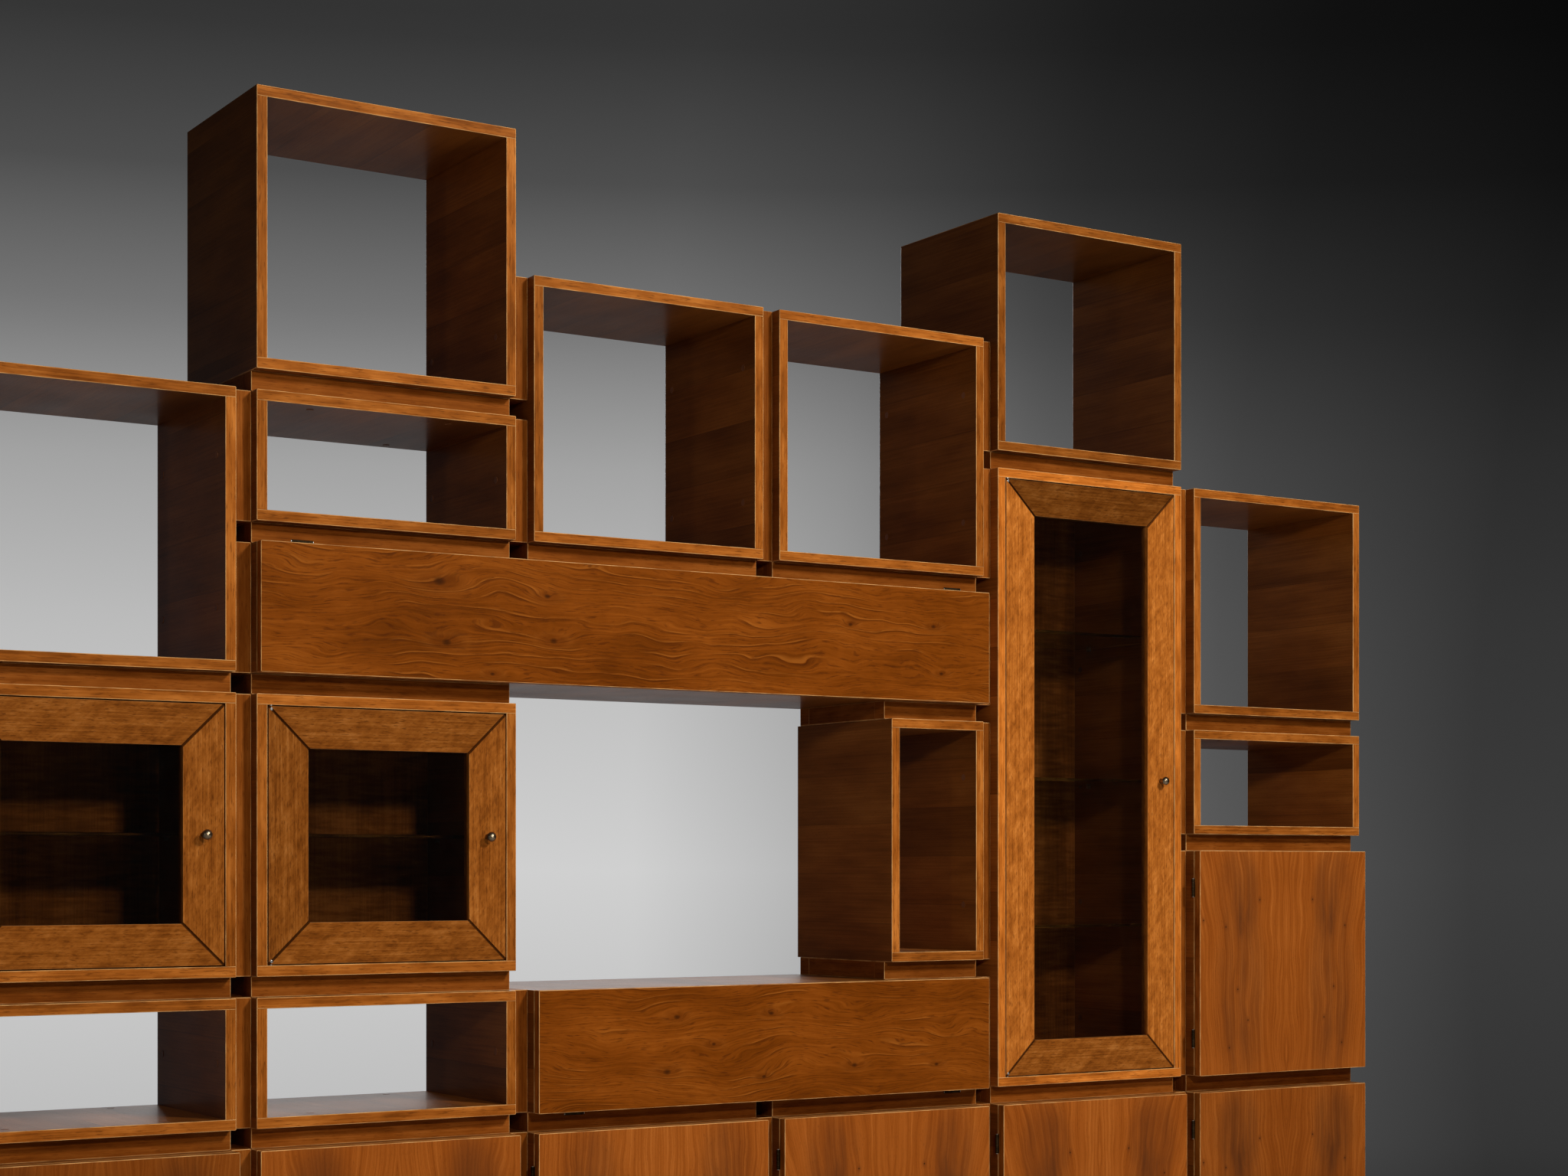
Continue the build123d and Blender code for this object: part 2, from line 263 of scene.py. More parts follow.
# Smoky zones of one door leaf, as parts of the door's side: from its mirror line and down
# from the top, then their reach across and along the grain in metres.
SMOKE = [(0.29, 0.19, 0.075, 0.120), (0.27, 0.64, 0.085, 0.240)]
# Pin knots of one door leaf: from the mirror line and down from the top.
PINS = [(0.16, 0.22), (0.29, 0.62), (0.34, 0.88), (0.49, 0.31), (0.36, 0.34), (0.23, 0.76)]


def grain_coordinates(n):
    along, across, seed = n.split(n.attribute("grain").outputs["Vector"])
    return along, across, n.math("MULTIPLY", seed, SEED_SPREAD)


def grain_lines(n, grain):
    """Fine streaks, short pores and soft clouds that all wood here shares."""
    streaks = n.grain_noise(grain, 5.0, 330.0, detail=4.0, roughness=0.6)
    pores = n.grain_noise(grain, 110.0, 1500.0, detail=1.0)
    clouds = n.grain_noise(grain, 3.5, 14.0, detail=3.0, roughness=0.55)
    return streaks, n.remap(pores, 0.63, 0.74), clouds


def finish_wood(n, colour, streaks, pores, gloss, coat=0.0, specular=0.05, wear_and_highlight=1.0):
    """Satin lacquer over the wood: its own gloss varies a little, and pores sink."""
    tone = n.attribute("tone").outputs["Fac"]
    colour = n.mix(1.0, colour, n.vector(tone, tone, tone), "MULTIPLY")
    place = n.node("ShaderNodeTexCoord").outputs["Object"]
    # Arris faces are lightened in patches: partly wear, partly a painted highlight along the
    # edges.
    rub = n.noise(place, scale=26.0, detail=3.0)
    worn = n.remap(rub, 0.36, 0.60, 0.30 * wear_and_highlight, 0.85 * wear_and_highlight)
    worn = n.math("MULTIPLY", n.attribute("arris").outputs["Fac"], worn)
    colour = n.mix(worn, colour, WORN_AND_HIGHLIGHT_WOOD)
    haze = n.noise(place, scale=7.0, detail=3.0)
    rough = n.total((haze, 0.16), (pores, 0.10))
    n.set(Base_Color=colour, Roughness=n.math("ADD", rough, gloss - 0.07))
    n.set(Coat_Weight=coat, Coat_Roughness=0.10)
    n.set(IOR=1.45, Specular_IOR_Level=specular, Specular_Tint=LACQUER_TINT)
    n.bump(n.math("SUBTRACT", n.math("MULTIPLY", streaks, 0.35), pores), PORE_DEPTH, 0.55)


def carcass_veneer():
    """Broad faces of the boxes: front-to-back grain in leaves side by side."""
    n = Nodes("carcass_veneer")
    along, across, seed = grain_coordinates(n)
    leaf_place = n.total((n.math("DIVIDE", across, LEAF_WIDTH), 1.0), (seed, 0.37))
    leaf_seed = n.total((n.math("FLOOR", leaf_place), 3.7), (seed, 1.0))
    streaks, pores, clouds = grain_lines(n, (along, across, leaf_seed))
    colour = n.ramp(
        n.total((clouds, 0.62), (streaks, 0.38)),
        (0.33, (0.135, 0.0375, 0.0052)),
        (0.46, (0.195, 0.0570, 0.0082)),
        (0.57, (0.252, 0.0790, 0.0122)),
        (0.70, (0.325, 0.1090, 0.0190)),
    )
    leaf_tone = n.remap(n.random(leaf_seed), 0.0, 1.0, 0.78, 1.16)
    colour = n.mix(1.0, colour, n.vector(leaf_tone, leaf_tone, leaf_tone), "MULTIPLY")
    from_middle = n.math("ABSOLUTE", n.math("SUBTRACT", n.math("FRACT", leaf_place), 0.5))
    seam = n.remap(from_middle, 0.490, 0.498)
    colour = n.mix(n.math("MULTIPLY", seam, 0.45), colour, (0.055, 0.014, 0.004))
    colour = n.mix(n.math("MULTIPLY", pores, 0.50), colour, (0.060, 0.016, 0.004))
    finish_wood(n, colour, streaks, pores, gloss=0.34, coat=0.12, specular=0.12)
    return n.material


def lipping_colour(n, grain, streaks, clouds):
    """Orange-brown maple-like wood with flecks and patches of darker grain."""
    flecks = n.grain_noise(grain, 48.0, 420.0, detail=3.0)
    patches = n.grain_noise(grain, 16.0, 60.0, shift=4.0, detail=3.0)
    colour = n.ramp(
        n.total((clouds, 0.30), (streaks, 0.34), (patches, 0.36)),
        (0.39, (0.175, 0.0440, 0.0045)),
        (0.47, (0.285, 0.0770, 0.0085)),
        (0.54, (0.370, 0.1080, 0.0140)),
        (0.63, (0.490, 0.1600, 0.0260)),
    )
    return n.mix(n.remap(flecks, 0.57, 0.69, 0.0, 0.62), colour, DARK_DASH)


def edge_band():
    """Solid lipping on the fronts: straight grain along its length, dark flecks."""
    n = Nodes("edge_band")
    grain = grain_coordinates(n)
    streaks, pores, clouds = grain_lines(n, grain)
    colour = lipping_colour(n, grain, streaks, clouds)
    finish_wood(n, colour, streaks, pores, gloss=0.40)
    return n.material


def rail_wood_painted_shade():
    """Spacer and plinth rails: the same wood as the bands, duller, and darker through a
    painted shade.
    """
    n = Nodes("rail_wood_painted_shade")
    grain = grain_coordinates(n)
    streaks, pores, clouds = grain_lines(n, grain)
    colour = lipping_colour(n, grain, streaks, clouds)
    # Painted shade: the rails sit recessed behind the box fronts, and this darkens them as if
    # they lay in the boxes' shadow.
    colour = n.mix(0.52, colour, (0.135, 0.0290, 0.0026))
    finish_wood(n, colour, streaks, pores, gloss=0.46)
    return n.material


def knot_field(n, along, across, knots, stretch):
    """Swirl round each knot: how far it bends the grain, and its dark heart."""
    bend, core = 0.0, 0.0
    for knot_along, knot_across, size in knots:
        du = n.math("DIVIDE", n.math("SUBTRACT", along, knot_along), stretch)
        dv = n.math("SUBTRACT", across, knot_across)
        du_square, dv_square = n.math("MULTIPLY", du, du), n.math("MULTIPLY", dv, dv)
        spread = n.math("ADD", n.math("ADD", du_square, dv_square), size * size)
        bend = n.math("ADD", bend, n.math("DIVIDE", size * size, spread))
        heart = n.math("ADD", n.math("MULTIPLY", du_square, 3.0), dv_square)
        core = n.math("ADD", core, n.remap(heart, (0.42 * size) ** 2, (0.08 * size) ** 2))
    return bend, core


def flap_veneer(name, knots):
    """Crown-cut leaf with knots: wavy paired contour lines, dark clouds, short dashes."""
    n = Nodes(name)
    along, across, seed = grain_coordinates(n)
    bend, core = knot_field(n, along, across, knots, stretch=2.6)
    drift = n.grain_noise((along, across, seed), 3.2, 8.0, detail=2.5, roughness=0.50)
    drift = n.math("SUBTRACT", drift, 0.5)
    bent = n.total((across, 1.0), (drift, 0.13), (bend, 0.018))
    grain = (along, bent, seed)
    streaks, pores, clouds = grain_lines(n, grain)
    phase = n.math("FRACT", n.total((bent, 52.0), (clouds, 0.9)))
    present = n.grain_noise((along, across, seed), 7.0, 16.0, shift=9.0, detail=2.0)
    present = n.remap(present, 0.50, 0.62)
    dark_line = n.math("MULTIPLY", n.remap(phase, 0.80, 0.975), n.remap(phase, 1.0, 0.99))
    light_line = n.math("MULTIPLY", n.remap(phase, 0.14, 0.06), n.remap(phase, 0.0, 0.015))
    dark_line = n.math("MULTIPLY", dark_line, present)
    light_line = n.math("MULTIPLY", light_line, present)
    broad = n.grain_noise(grain, 4.6, 12.0, shift=5.0, detail=5.0, roughness=0.62)
    dashes = n.grain_noise(grain, 42.0, 520.0, detail=2.0)
    colour = n.ramp(
        n.total((broad, 0.46), (streaks, 0.34), (clouds, 0.20)),
        (0.37, (0.108, 0.0240, 0.0016)),
        (0.46, (0.165, 0.0375, 0.0024)),
        (0.54, (0.218, 0.0520, 0.0040)),
        (0.64, (0.290, 0.0760, 0.0072)),
    )
    colour = n.mix(n.math("MULTIPLY", dark_line, 0.66), colour, (0.062, 0.0120, 0.0015))
    colour = n.mix(n.math("MULTIPLY", light_line, 0.42), colour, (0.400, 0.1250, 0.0160))
    colour = n.mix(n.remap(dashes, 0.56, 0.68, 0.0, 0.60), colour, (0.070, 0.0140, 0.0020))
    colour = n.mix(n.remap(bend, 0.45, 1.1, 0.0, 0.42), colour, (0.085, 0.0180, 0.0025))
    ring = n.math("MULTIPLY", n.remap(bend, 0.40, 0.58), n.remap(bend, 0.80, 0.62))
    colour = n.mix(n.math("MULTIPLY", ring, 0.10), colour, (0.380, 0.1150, 0.0150))
    colour = n.mix(n.math("MULTIPLY", core, 0.70), colour, KNOT_HEART)
    finish_wood(n, colour, streaks, pores, gloss=0.36)
    return n.material


def smoky_zones(n, along, mirrored):
    """How deep each point lies in the smoky zones of a door leaf, 0 outside them."""
    zone = 0.0
    for place, down, reach, tall in SMOKE:
        du = n.math("DIVIDE", n.math("SUBTRACT", along, (1 - down) * DOOR_SIDE), tall)
        dv = n.math("DIVIDE", n.math("SUBTRACT", mirrored, place * DOOR_SIDE), reach)
        square = n.math("ADD", n.math("MULTIPLY", du, du), n.math("MULTIPLY", dv, dv))
        zone = n.math("ADD", zone, n.remap(square, 1.0, 0.0, smooth=True))
    return zone


def door_veneer():
    """Two mirrored leaves of upright, slightly fanning grain, smoky zones, pin knots."""
    n = Nodes("door_veneer")
    along, across, seed = grain_coordinates(n)
    mirrored = n.math("ABSOLUTE", n.math("SUBTRACT", across, MIRROR_LINE))
    sway = n.grain_noise((along, mirrored, seed), 2.6, 5.0, detail=3.0)
    sway = n.math("MULTIPLY", n.math("SUBTRACT", sway, 0.5), 0.08)
    fan = n.math("MULTIPLY", n.math("MULTIPLY", mirrored, along), 0.50)
    inward = n.math("ADD", n.math("SUBTRACT", mirrored, fan), sway)
    grain = (along, inward, seed)
    streaks, pores, clouds = grain_lines(n, grain)
    fine = n.grain_noise(grain, 2.2, 230.0, detail=4.0, roughness=0.65)
    smoke = n.grain_noise(grain, 4.0, 34.0, shift=3.0, detail=4.0, roughness=0.6)
    zone = smoky_zones(n, along, mirrored)
    zone = n.math("MULTIPLY", zone, n.remap(smoke, 0.32, 0.60, 0.30, 1.0))
    colour = n.ramp(
        n.total((fine, 0.40), (clouds, 0.28), (streaks, 0.32)),
        (0.33, (0.190, 0.0420, 0.0045)),
        (0.46, (0.275, 0.0660, 0.0075)),
        (0.56, (0.350, 0.0920, 0.0120)),
        (0.70, (0.480, 0.1450, 0.0240)),
    )
    colour = n.mix(n.math("MULTIPLY", zone, 0.60), colour, (0.090, 0.0260, 0.0080))
    knots = [((1 - down) * DOOR_SIDE, place * DOOR_SIDE, PIN_KNOT) for place, down in PINS]
    bend, core = knot_field(n, along, mirrored, knots, stretch=1.6)
    colour = n.mix(n.remap(bend, 0.35, 1.0, 0.0, 0.50), colour, (0.100, 0.0260, 0.0070))
    colour = n.mix(n.math("MULTIPLY", core, 0.9), colour, KNOT_HEART)
    colour = n.mix(n.math("MULTIPLY", pores, 0.4), colour, (0.085, 0.0200, 0.0030))
    finish_wood(n, colour, streaks, pores, gloss=0.38)
    return n.material


def frame_veneer():
    """Members of the glazed doors: blotchy, with short oblique flames in the grain."""
    n = Nodes("frame_veneer")
    grain = along, across, seed = grain_coordinates(n)
    streaks, pores, clouds = grain_lines(n, grain)
    turned = n.total((along, 0.8), (across, 0.6))
    square_to = n.total((across, 0.8), (along, -0.6))
    flames = n.grain_noise(
        (turned, square_to, seed), 30.0, 110.0, detail=4.0, roughness=0.66, distortion=0.4
    )
    blotch = n.grain_noise(grain, 24.0, 58.0, shift=2.0, detail=5.0, roughness=0.66)
    colour = n.ramp(
        n.total((flames, 0.22), (blotch, 0.43), (streaks, 0.35)),
        (0.38, (0.145, 0.0385, 0.0045)),
        (0.47, (0.232, 0.0655, 0.0080)),
        (0.54, (0.300, 0.0915, 0.0126)),
        (0.64, (0.410, 0.1450, 0.0280)),
    )
    dashes = n.grain_noise(grain, 75.0, 420.0, detail=2.0)
    colour = n.mix(n.remap(dashes, 0.57, 0.68, 0.0, 0.60), colour, DARK_DASH)
    colour = n.mix(n.math("MULTIPLY", pores, 0.5), colour, DARK_DASH)
    groove = n.attribute("groove").outputs["Fac"]
    colour = n.mix(n.math("MULTIPLY", groove, 0.85), colour, (0.030, 0.0080, 0.0020))
    # The frames get only a little of the lightened arris colour, which is wear and painted
    # highlight.
    finish_wood(n, colour, streaks, pores, gloss=0.34, wear_and_highlight=0.25)
    return n.material


def back_veneer():
    """Back panels: curly figure, uneven ribs of light and dark across the grain."""
    n = Nodes("back_veneer")
    grain = grain_coordinates(n)
    streaks, pores, clouds = grain_lines(n, grain)
    curl = n.grain_noise(grain, 115.0, 17.0, detail=2.0, distortion=0.35)
    colour = n.ramp(
        n.total((curl, 0.34), (clouds, 0.44), (streaks, 0.22)),
        (0.36, (0.210, 0.0560, 0.0075)),
        (0.50, (0.420, 0.1250, 0.0190)),
        (0.62, (0.700, 0.2300, 0.0420)),
    )
    colour = n.mix(n.math("MULTIPLY", pores, 0.5), colour, (0.070, 0.0170, 0.0030))
    finish_wood(n, colour, streaks, pores, gloss=0.42)
    return n.material


# ======================================================================================
# Glass, metal and plastic
# ======================================================================================
def glass(name, colour):
    """Glass with a breath of dust that only shows in its gloss."""
    n = Nodes(name)
    place = n.node("ShaderNodeTexCoord").outputs["Object"]
    dust = n.noise(place, scale=9.0, detail=4.0)
    smear = n.noise(place, scale=55.0, detail=2.0)
    n.set(Transmission_Weight=1.0, IOR=1.5)
    tint = n.mix(n.remap(smear, 0.3, 0.7), colour, tuple(0.97 * part for part in colour))
    n.set(Base_Color=tint, Roughness=n.remap(dust, 0.45, 0.75, 0.0, 0.035))
    return n.material


def pane_glass():
    """Smoked pane: a thin dark film that lets light through, a little dusty."""
    n = Nodes("pane_glass")
    place = n.node("ShaderNodeTexCoord").outputs["Object"]
    dust = n.noise(place, scale=9.0, detail=4.0)
    smear = n.noise(place, scale=55.0, detail=2.0)
    clean, hazy = (0.0010, 0.0008, 0.0007), (0.0030, 0.0025, 0.0020)
    n.set(Base_Color=n.mix(n.remap(smear, 0.3, 0.7), clean, hazy))
    n.set(Roughness=n.remap(dust, 0.45, 0.75, 0.02, 0.10), IOR=1.5)
    n.set(Alpha=n.remap(dust, 0.3, 0.7, 0.27, 0.33))
    return n.material


def metal(name, dark, light, rough, edge=(1.0, 1.0, 1.0)):
    """Turned and plated metal: fine scratches, tarnish in patches."""
    n = Nodes(name)
    place = n.node("ShaderNodeTexCoord").outputs["Object"]
    tarnish = n.noise(place, scale=60.0, detail=4.0, roughness=0.6)
    stretch = n.node("ShaderNodeMapping")
    n.link(place, stretch.inputs["Vector"])
    stretch.inputs["Scale"].default_value = (1.0, 1.0, 14.0)
    scratch = n.noise(stretch.outputs[0], scale=180.0, detail=3.0)
    n.set(Base_Color=n.mix(n.remap(tarnish, 0.35, 0.65), dark, light), Metallic=1.0)
    wear = n.math("ADD", n.math("MULTIPLY", tarnish, 0.22), n.math("MULTIPLY", scratch, 0.12))
    n.set(Roughness=n.math("ADD", wear, rough - 0.15), Specular_Tint=(*edge, 1.0))
    n.bump(scratch, 0.03 * MM, 0.5)
    return n.material


def plastic(name, colour):
    """Moulded plastic with the fine orange peel of its mould."""
    n = Nodes(name)
    place = n.node("ShaderNodeTexCoord").outputs["Object"]
    peel = n.noise(place, scale=900.0, detail=2.0)
    patch = n.noise(place, scale=40.0, detail=3.0)
    worn = tuple(min(1.0, part * 1.5 + 0.01) for part in colour)
    n.set(Base_Color=n.mix(n.remap(patch, 0.3, 0.7), colour, worn))
    n.set(Roughness=n.remap(patch, 0.3, 0.7, 0.40, 0.55))
    n.bump(peel, 0.05 * MM, 0.4)
    return n.material


FACE = carcass_veneer()
BAND = edge_band()
RAIL_WOOD_PAINTED_SHADE = rail_wood_painted_shade()
DOOR = door_veneer()
FRAME_WOOD = frame_veneer()
BACK = back_veneer()
FLAP_WOOD = {
    "lift_flap": flap_veneer("lift_flap_veneer", LIFT_KNOTS),
    "drop_flap": flap_veneer("drop_flap_veneer", DROP_KNOTS),
}
PANE = pane_glass()
SHELF = glass("shelf_glass", (0.80, 0.93, 0.86))
BRONZE = metal("dark_bronze", (0.110, 0.080, 0.048), (0.340, 0.260, 0.170), 0.30)
STEEL = metal("plated_steel", (0.38, 0.37, 0.35), (0.62, 0.61, 0.58), 0.30)
BRASS = metal(
    "aged_brass", (0.016, 0.010, 0.005), (0.060, 0.038, 0.018), 0.68, edge=(0.20, 0.14, 0.08)
)
CAP = plastic("bolt_cap", (0.150, 0.046, 0.010))
CATCH = plastic("catch_plastic", (0.055, 0.030, 0.016))


# ======================================================================================
# Meshes
# ======================================================================================
def corner_box(mesh, low, high):
    """A box of eight vertices between two corners; returns the vertices."""
    made = bmesh.ops.create_cube(mesh, size=1.0)
    for vertex in made["verts"]:
        for axis in range(3):
            middle = (low[axis] + high[axis]) / 2
            vertex.co[axis] = middle + vertex.co[axis] * (high[axis] - low[axis])
    return made["verts"]


def edges_along(vertices, chosen):
    """Edges at the given vertices that chosen(middle, axis they run along) accepts."""
    edges = {edge for vertex in vertices for edge in vertex.link_edges}
    kept = []
    for edge in sorted(edges, key=lambda one: one.index):
        first, second = edge.verts
        run = second.co - first.co
        axis = max(range(3), key=lambda number: abs(run[number]))
        if chosen((first.co + second.co) / 2, axis):
            kept.append(edge)
    return kept


def all_edges(middle, axis):
    return True


def finished_piece(mesh, name, *materials):
    """Turns a mesh into an object of the scene with its materials."""
    data = bpy.data.meshes.new(name)
    mesh.to_mesh(data)
    mesh.free()
    for material in materials:
        data.materials.append(material)
    piece = bpy.data.objects.new(name, data)
    bpy.context.collection.objects.link(piece)
    return piece


class Wood:
    """A mesh of bevelled boards that carries the grain of each face."""

    def __init__(self):
        self.parts = []

    def board(
        self,
        low,
        high,
        seed,
        length_axis,
        veneer_along=None,
        arris=ARRIS,
        rounded=all_edges,
        tone=None,
    ):
        """A board; its grain runs along length_axis, or along veneer_along on plain faces.

        Faces that build() gives the band material always follow length_axis.
        """
        mesh = bmesh.new()
        vertices = corner_box(mesh, low, high)
        mesh.edges.index_update()
        bmesh.ops.bevel(
            mesh,
            geom=edges_along(vertices, rounded),
            offset=arris,
            segments=2,
            profile=0.5,
            affect="EDGES",
            clamp_overlap=True,
        )
        self.add(mesh, low, high, seed, length_axis, veneer_along, tone)

    def add(self, mesh, low, high, seed, length_axis, veneer_along=None, tone=None):
        """Keeps a finished board; without a tone, its seed decides how light it is."""
        if tone is None:
            tone = 1.0 + TONE_SPREAD * math.sin(seed * TONE_STEP)
        self.parts.append((mesh, low, high, seed, length_axis, veneer_along, tone))

    def build(self, name, face_material, band_material=None, band_faces=lambda normal: False):
        """Joins the boards in one object, with the wood attributes and the materials."""
        whole = bmesh.new()
        grains = whole.loops.layers.float_vector.new("grain")
        tones = whole.loops.layers.float.new("tone")
        arrises = whole.loops.layers.float.new("arris")
        grooves = whole.loops.layers.float.new("groove")
        for part, low, high, seed, length_axis, veneer_along, tone in self.parts:
            for face in part.faces:
                face.normal_update()
                thin = max(range(3), key=lambda axis: abs(face.normal[axis]))
                rest = [axis for axis in range(3) if axis != thin]
                banded = band_faces(face.normal)
                along = length_axis if veneer_along is None or banded else veneer_along
                if along not in rest:
                    along = max(rest, key=lambda axis: high[axis] - low[axis])
                across = rest[0] if rest[1] == along else rest[1]
                made = whole.faces.new([whole.verts.new(vertex.co) for vertex in face.verts])
                made.material_index = 1 if banded and band_material else 0
                slanted = abs(face.normal[thin]) < SQUARE_ENOUGH
                at_mitre = min(abs(share) for share in face.normal) > MITRE_SLANT
                for loop in made.loops:
                    place = loop.vert.co
                    loop[grains] = Vector(
                        (
                            place[along] - low[along],
                            place[across] - low[across],
                            seed + FACE_SEED_STEP * thin,
                        )
                    )
                    loop[tones] = tone
                    # Arris faces take the lighter edge colour: partly wear, partly a painted
                    # highlight.
                    loop[arrises] = float(slanted and not at_mitre)
                    loop[grooves] = float(at_mitre)
            part.free()
        bmesh.ops.remove_doubles(whole, verts=whole.verts, dist=MERGE)
        materials = [face_material] + ([band_material] if band_material else [])
        return finished_piece(whole, name, *materials)


def faces_front_or_rear(normal):
    return abs(normal.y) > 0.5


def faces_sideways_or_up(normal):
    return abs(normal.y) < 0.5


def runs_back(middle, axis):
    return axis == 1


def runs_up(middle, axis):
    return axis == 2


# ---- boxes ----
def make_box(name, seed):
    """Top and bottom over the sides; the arrises where they meet inside stay sharp."""
    low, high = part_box(name)
    tone = BOX_TONES.get(name)
    inner_low, inner_high = low.z + BOARD, high.z - BOARD
    wood = Wood()

    def flat_board(bottom, top, inner, number):
        def rounded(middle, axis):
            return axis != 1 or abs(middle.z - inner) > SNUG

        near, far = (low.x, low.y, bottom), (high.x, high.y, top)
        wood.board(near, far, seed + number, 0, 1, rounded=rounded, tone=tone)

    flat_board(low.z, inner_low, inner_low, 0.1)
    flat_board(inner_high, high.z, inner_high, 0.2)

    def upright(left, right, number):
        near, far = (left, low.y, inner_low), (right, high.y, inner_high)
        wood.board(near, far, seed + number, 2, 1, rounded=runs_up, tone=tone)

    upright(low.x, low.x + BOARD, 0.3)
    upright(high.x - BOARD, high.x, 0.4)
    piece = wood.build(name + "_boards", FACE, BAND, faces_front_or_rear)
    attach(piece, "cabinet")
    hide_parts(name)


# ---- spacers ----
def overlap(first, second):
    """The stretch two spans share, or None when they share none."""
    low, high = max(first[0], second[0]), min(first[1], second[1])
    return (low, high) if high - low > SNUG else None


def spans(name):
    """The box of a node as a (low, high) span on each axis."""
    low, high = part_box(name)
    return [(low[axis], high[axis]) for axis in range(3)]


def one_gap_apart(first, second):
    return abs(second - first - GAP) < SNUG


def rail_frame(wood, spans_of_frame, length_axis, seed):
    """Front and rear rails with cross rails between them."""

    def rail(corners, rail_seed, grain_axis, rounded=all_edges):
        low, high = [span[0] for span in corners], [span[1] for span in corners]
        wood.board(low, high, rail_seed, grain_axis, rounded=rounded)

    long_low, long_high = spans_of_frame[length_axis]
    front, rear = spans_of_frame[1]
    spots = [(long_low, long_low + RAIL), (long_high - RAIL, long_high)]
    if long_high - long_low > CELL:
        middle = (long_low + long_high) / 2
        spots.append((middle - RAIL / 2, middle + RAIL / 2))
    corners = list(spans_of_frame)
    for number, depth in enumerate(((front, front + RAIL), (rear - RAIL, rear))):
        corners[1] = depth
        rail(corners, seed + 0.1 * number, length_axis)
    corners[1] = (front + RAIL, rear - RAIL)
    for number, spot in enumerate(spots):
        corners[length_axis] = spot
        rail(corners, seed + 0.3 + 0.1 * number, 1, rounded=runs_back)


def make_spacers():
    """A frame of rails in every gap between two boxes that face each other."""
    stacked, beside = Wood(), Wood()
    seed = 40.0
    for one in BOXES:
        for other in BOXES:
            x, y, z = spans(one)
            other_x, _, other_z = spans(other)
            depth = (y[0] + RECESS, y[1] - REAR_RECESS)
            if one_gap_apart(z[1], other_z[0]) and overlap(x, other_x):
                rail_frame(stacked, [overlap(x, other_x), depth, (z[1], other_z[0])], 0, seed)
            if one_gap_apart(x[1], other_x[0]) and overlap(z, other_z):
                rail_frame(beside, [(x[1], other_x[0]), depth, overlap(z, other_z)], 2, seed)
            seed += 1.7
    for wood, node in ((stacked, "stacking_spacers"), (beside, "side_spacers")):
        piece = wood.build(node + "_rails", RAIL_WOOD_PAINTED_SHADE)
        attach(piece, "cabinet")
        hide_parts(node)


def make_plinth():
    """Front and rear rails with a cross rail at each side of every column."""
    low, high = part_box("plinth")
    inner_front, inner_rear = low.y + PLINTH_RAIL, high.y - PLINTH_RAIL
    wood = Wood()
    for number, (front, rear) in enumerate(((low.y, inner_front), (inner_rear, high.y))):
        wood.board((low.x, front, low.z), (high.x, rear, high.z), 5.0 + number, 0)
    columns = round((high.x - low.x + GAP) / CELL)
    pitch = (high.x - low.x - PLINTH_RAIL) / columns
    for number in range(columns + 1):
        left = low.x + number * pitch
        near, far = (left, inner_front, low.z), (left + PLINTH_RAIL, inner_rear, high.z)
        wood.board(near, far, 8.0 + number, 1)
    piece = wood.build("plinth_rails", RAIL_WOOD_PAINTED_SHADE)
    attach(piece, "cabinet")
    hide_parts("plinth")


def make_back_panels():
    """A thin panel between the boards of every box with a door or flap."""
    rear_low, rear_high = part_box("back_panels")
    wood = Wood()
    fronted = [name for name in BOXES if is_fronted(name)]
    for number, name in enumerate(fronted):
        low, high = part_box(name)
        wood.board(
            (low.x + BOARD, rear_low.y, low.z + BOARD),
            (high.x - BOARD, rear_high.y, high.z - BOARD),
            20.0 + 1.3 * number,
            2 if high.z - low.z > CELL else 0,
            arris=SOFT_ARRIS,
        )
    piece = wood.build("back_panel_leaves", BACK)
    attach(piece, "cabinet")
    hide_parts("back_panels")


def is_fronted(name):
    """Whether a door or flap covers part of this box."""
    low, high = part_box(name)
    for leaf in DOORS + FLAPS + [door + "_frame" for door in GLAZED]:
        leaf_low, leaf_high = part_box(leaf)
        inside_x = low.x - SNUG < leaf_low.x and leaf_high.x < high.x + SNUG
        inside_z = low.z - SNUG < leaf_low.z and leaf_high.z < high.z + SNUG
        if inside_x and inside_z:
            return True
    return False


# ---- doors and flaps ----
def make_slab(name, seed, material, length_axis):
    """One veneered leaf with solid lipping round it."""
    low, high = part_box(name)
    wood = Wood()
    wood.board(low, high, seed, length_axis, tone=DOOR_TONES.get(name, 1.0))
    piece = wood.build(name + "_slab", material, BAND, faces_sideways_or_up)
    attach(piece, name)
    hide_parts(name)


